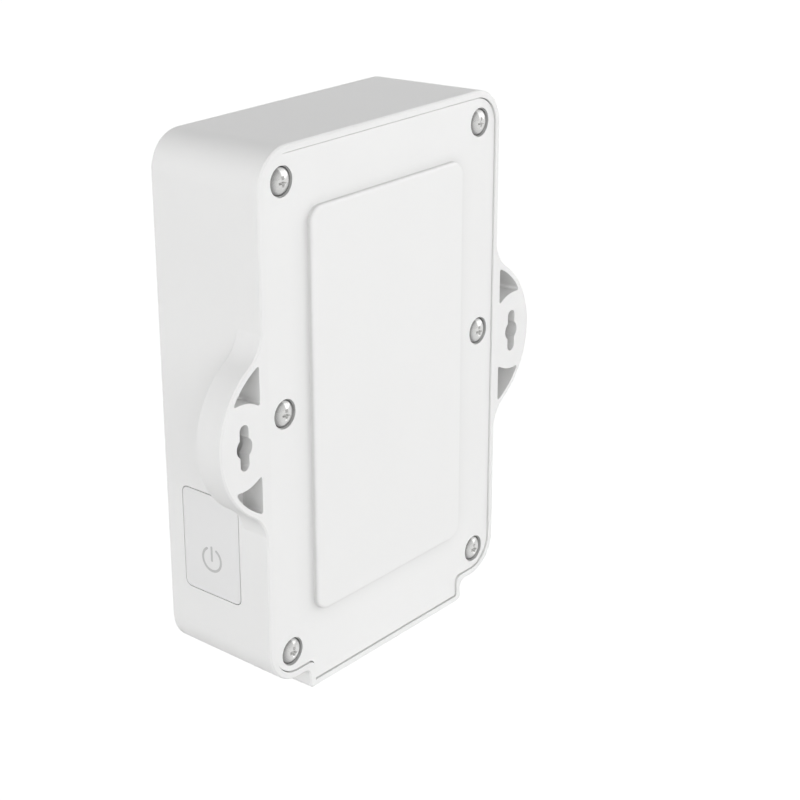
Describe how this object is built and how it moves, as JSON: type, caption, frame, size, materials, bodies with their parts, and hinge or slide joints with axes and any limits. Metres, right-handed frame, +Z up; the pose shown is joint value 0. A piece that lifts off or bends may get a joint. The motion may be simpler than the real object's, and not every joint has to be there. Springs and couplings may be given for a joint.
{
  "type": "temperature humidity sensor",
  "caption": "Wall-mounted wireless temperature and humidity sensor: a drafted white box with keyhole ears, a screwed rear cover, a side power button and a vented lower tab.",
  "frame": {"origin": "middle of the width and of the overall depth, at the foot of the lower tab", "axes": "+Y out of the rear cover, which faces the wall; -Y the front; +X the side with the power button; +Z up"},
  "size_m": [0.0926, 0.0276, 0.1082],
  "materials": {
    "housing_plastic": "fine matte",
    "cover_plastic": "fine matte",
    "button_plastic": "smooth matte",
    "seal_rubber": "soft matte",
    "screw_steel": "bright plated",
    "small_screw_steel": "plated",
    "switch_plastic": "moulded",
    "plunger_plastic": "moulded",
    "circuit_board": "solder mask",
    "shield_metal": "tinned",
    "chip_plastic": "moulded",
    "antenna_metal": "stamped",
    "coil_copper": "film-backed copper",
    "led_resin": "clear resin",
    "clear_plastic": "polished",
    "holder_plastic": "moulded",
    "cell_wrap": "shrink wrap",
    "contact_metal": "nickel plated",
    "foam": "closed-cell foam",
    "membrane_film": "expanded film"
  },
  "bodies": {
    "case": {"front_housing": "housing_plastic", "rear_cover": "cover_plastic", "cover_gasket": "seal_rubber", "cover_screws": "screw_steel", "button_seal": "seal_rubber", "tactile_switch": "switch_plastic", "main_board": "circuit_board", "board_screws": "small_screw_steel", "radio_module": "shield_metal", "microcontroller": "chip_plastic", "antenna": "antenna_metal", "setup_coil": "coil_copper", "status_led": "led_resin", "light_pipe": "clear_plastic", "battery_holder": "holder_plastic", "battery_left": "cell_wrap", "battery_right": "cell_wrap", "battery_contacts": "contact_metal", "battery_pad": "foam", "sensor_board": "circuit_board", "humidity_sensor": "chip_plastic", "vent_membrane": "membrane_film", "sensor_leads": "contact_metal", "lead_seal": "seal_rubber", "lead_connector": "holder_plastic"},
    "button": {"power_button": "button_plastic"},
    "plunger": {"switch_plunger": "plunger_plastic"}
  },
  "joints": [
    {"name": "button_press", "type": "slide", "parent": "case", "child": "button", "axis": [-1, 0, 0], "range_m": [0, 0.0004], "stiffness_N_per_m": 2500, "springref_m": -0.0004},
    {"name": "plunger_press", "type": "slide", "parent": "case", "child": "plunger", "axis": [-1, 0, 0], "range_m": [0, 0.0004]}
  ],
  "couplings": [
    {"joint": "plunger_press", "follows": "button_press", "ratio": 1}
  ]
}
